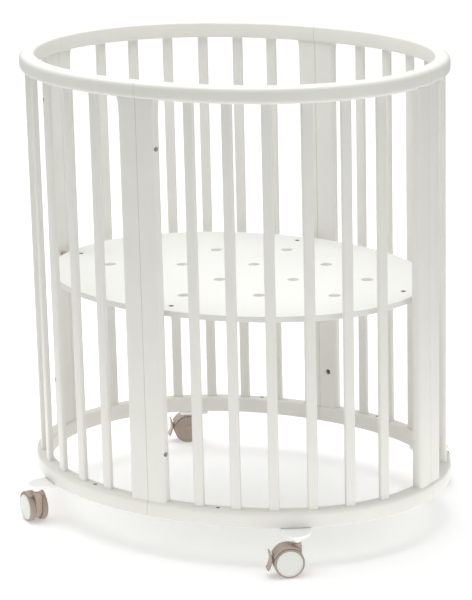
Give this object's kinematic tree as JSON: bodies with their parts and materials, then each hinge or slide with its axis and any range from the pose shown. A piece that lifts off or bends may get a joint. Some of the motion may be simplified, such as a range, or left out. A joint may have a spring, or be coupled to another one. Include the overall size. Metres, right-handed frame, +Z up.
{
  "type": "baby crib",
  "caption": "Oval slatted baby crib bolted together from quarter sections, with a raised perforated mattress board and braked swivel casters.",
  "frame": {"origin": "on the floor, at the centre of the oval plan", "axes": "+X along the crib's long axis, -Y the front, +Z up"},
  "size_m": [0.8198, 0.6488, 0.8707],
  "materials": {
    "rail": "white painted wood, satin",
    "post": "white painted wood, satin",
    "slat": "white painted wood, satin",
    "board": "white melamine faced board, matt",
    "caster_bracket": "white moulded plastic",
    "caster_housing": "tan moulded plastic",
    "caster_brake": "tan moulded plastic",
    "caster_wheel": "tan soft plastic tread"
  },
  "bodies": {
    "frame": {"top_rail_front_right": "rail", "bottom_rail_front_right": "rail", "post_front_right": "post", "post_right_front": "post", "slat_front_right_1": "slat", "slat_front_right_2": "slat", "slat_front_right_3": "slat", "slat_front_right_4": "slat", "slat_front_right_5": "slat", "slat_front_right_6": "slat", "caster_bracket_front_right": "caster_bracket", "top_rail_front_left": "rail", "bottom_rail_front_left": "rail", "post_front_left": "post", "post_left_front": "post", "slat_front_left_1": "slat", "slat_front_left_2": "slat", "slat_front_left_3": "slat", "slat_front_left_4": "slat", "slat_front_left_5": "slat", "slat_front_left_6": "slat", "caster_bracket_front_left": "caster_bracket", "top_rail_back_left": "rail", "bottom_rail_back_left": "rail", "post_back_left": "post", "post_left_back": "post", "slat_back_left_1": "slat", "slat_back_left_2": "slat", "slat_back_left_3": "slat", "slat_back_left_4": "slat", "slat_back_left_5": "slat", "slat_back_left_6": "slat", "caster_bracket_back_left": "caster_bracket", "top_rail_back_right": "rail", "bottom_rail_back_right": "rail", "post_back_right": "post", "post_right_back": "post", "slat_back_right_1": "slat", "slat_back_right_2": "slat", "slat_back_right_3": "slat", "slat_back_right_4": "slat", "slat_back_right_5": "slat", "slat_back_right_6": "slat", "caster_bracket_back_right": "caster_bracket", "mattress_board": "board"},
    "caster_front_right": {"caster_housing_front_right": "caster_housing"},
    "wheel_capped_front_right": {"wheel_capped_front_right": "caster_wheel"},
    "wheel_plain_front_right": {"wheel_plain_front_right": "caster_wheel"},
    "brake_front_right": {"caster_brake_front_right": "caster_brake"},
    "caster_front_left": {"caster_housing_front_left": "caster_housing"},
    "wheel_capped_front_left": {"wheel_capped_front_left": "caster_wheel"},
    "wheel_plain_front_left": {"wheel_plain_front_left": "caster_wheel"},
    "caster_back_left": {"caster_housing_back_left": "caster_housing"},
    "wheel_capped_back_left": {"wheel_capped_back_left": "caster_wheel"},
    "wheel_plain_back_left": {"wheel_plain_back_left": "caster_wheel"},
    "brake_back_left": {"caster_brake_back_left": "caster_brake"},
    "caster_back_right": {"caster_housing_back_right": "caster_housing"},
    "wheel_capped_back_right": {"wheel_capped_back_right": "caster_wheel"},
    "wheel_plain_back_right": {"wheel_plain_back_right": "caster_wheel"}
  },
  "joints": [
    {"name": "swivel_front_right", "type": "hinge", "parent": "frame", "child": "caster_front_right", "pos_m": [0.2825, -0.2744, 0.0625], "axis": [0, 0, 1], "continuous": true},
    {"name": "roll_capped_front_right", "type": "hinge", "parent": "caster_front_right", "child": "wheel_capped_front_right", "pos_m": [0.27043, -0.2849, 0.0275], "axis": [0.6561, -0.7547, 0], "continuous": true},
    {"name": "roll_plain_front_right", "type": "hinge", "parent": "caster_front_right", "child": "wheel_plain_front_right", "pos_m": [0.27043, -0.2849, 0.0275], "axis": [0.6561, -0.7547, 0], "continuous": true},
    {"name": "brake_lever_front_right", "type": "hinge", "parent": "caster_front_right", "child": "brake_front_right", "pos_m": [0.25344, -0.29966, 0.036], "axis": [0.6561, -0.7547, 0], "range_deg": [0, 7]},
    {"name": "swivel_front_left", "type": "hinge", "parent": "frame", "child": "caster_front_left", "pos_m": [-0.2825, -0.2744, 0.0625], "axis": [0, 0, 1], "continuous": true},
    {"name": "roll_capped_front_left", "type": "hinge", "parent": "caster_front_left", "child": "wheel_capped_front_left", "pos_m": [-0.29622, -0.26616, 0.0275], "axis": [-0.515, -0.8572, 0], "continuous": true},
    {"name": "roll_plain_front_left", "type": "hinge", "parent": "caster_front_left", "child": "wheel_plain_front_left", "pos_m": [-0.29622, -0.26616, 0.0275], "axis": [-0.515, -0.8572, 0], "continuous": true},
    {"name": "swivel_back_left", "type": "hinge", "parent": "frame", "child": "caster_back_left", "pos_m": [-0.2825, 0.2744, 0.0625], "axis": [0, 0, 1], "continuous": true},
    {"name": "roll_capped_back_left", "type": "hinge", "parent": "caster_back_left", "child": "wheel_capped_back_left", "pos_m": [-0.29457, 0.2639, 0.0275], "axis": [0.6561, -0.7547, 0], "continuous": true},
    {"name": "roll_plain_back_left", "type": "hinge", "parent": "caster_back_left", "child": "wheel_plain_back_left", "pos_m": [-0.29457, 0.2639, 0.0275], "axis": [0.6561, -0.7547, 0], "continuous": true},
    {"name": "brake_lever_back_left", "type": "hinge", "parent": "caster_back_left", "child": "brake_back_left", "pos_m": [-0.31156, 0.24914, 0.036], "axis": [0.6561, -0.7547, 0], "range_deg": [0, 7]},
    {"name": "swivel_back_right", "type": "hinge", "parent": "frame", "child": "caster_back_right", "pos_m": [0.2825, 0.2744, 0.0625], "axis": [0, 0, 1], "continuous": true},
    {"name": "roll_capped_back_right", "type": "hinge", "parent": "caster_back_right", "child": "wheel_capped_back_right", "pos_m": [0.27499, 0.28853, 0.0275], "axis": [-0.8829, -0.4695, 0], "continuous": true},
    {"name": "roll_plain_back_right", "type": "hinge", "parent": "caster_back_right", "child": "wheel_plain_back_right", "pos_m": [0.27499, 0.28853, 0.0275], "axis": [-0.8829, -0.4695, 0], "continuous": true}
  ]
}
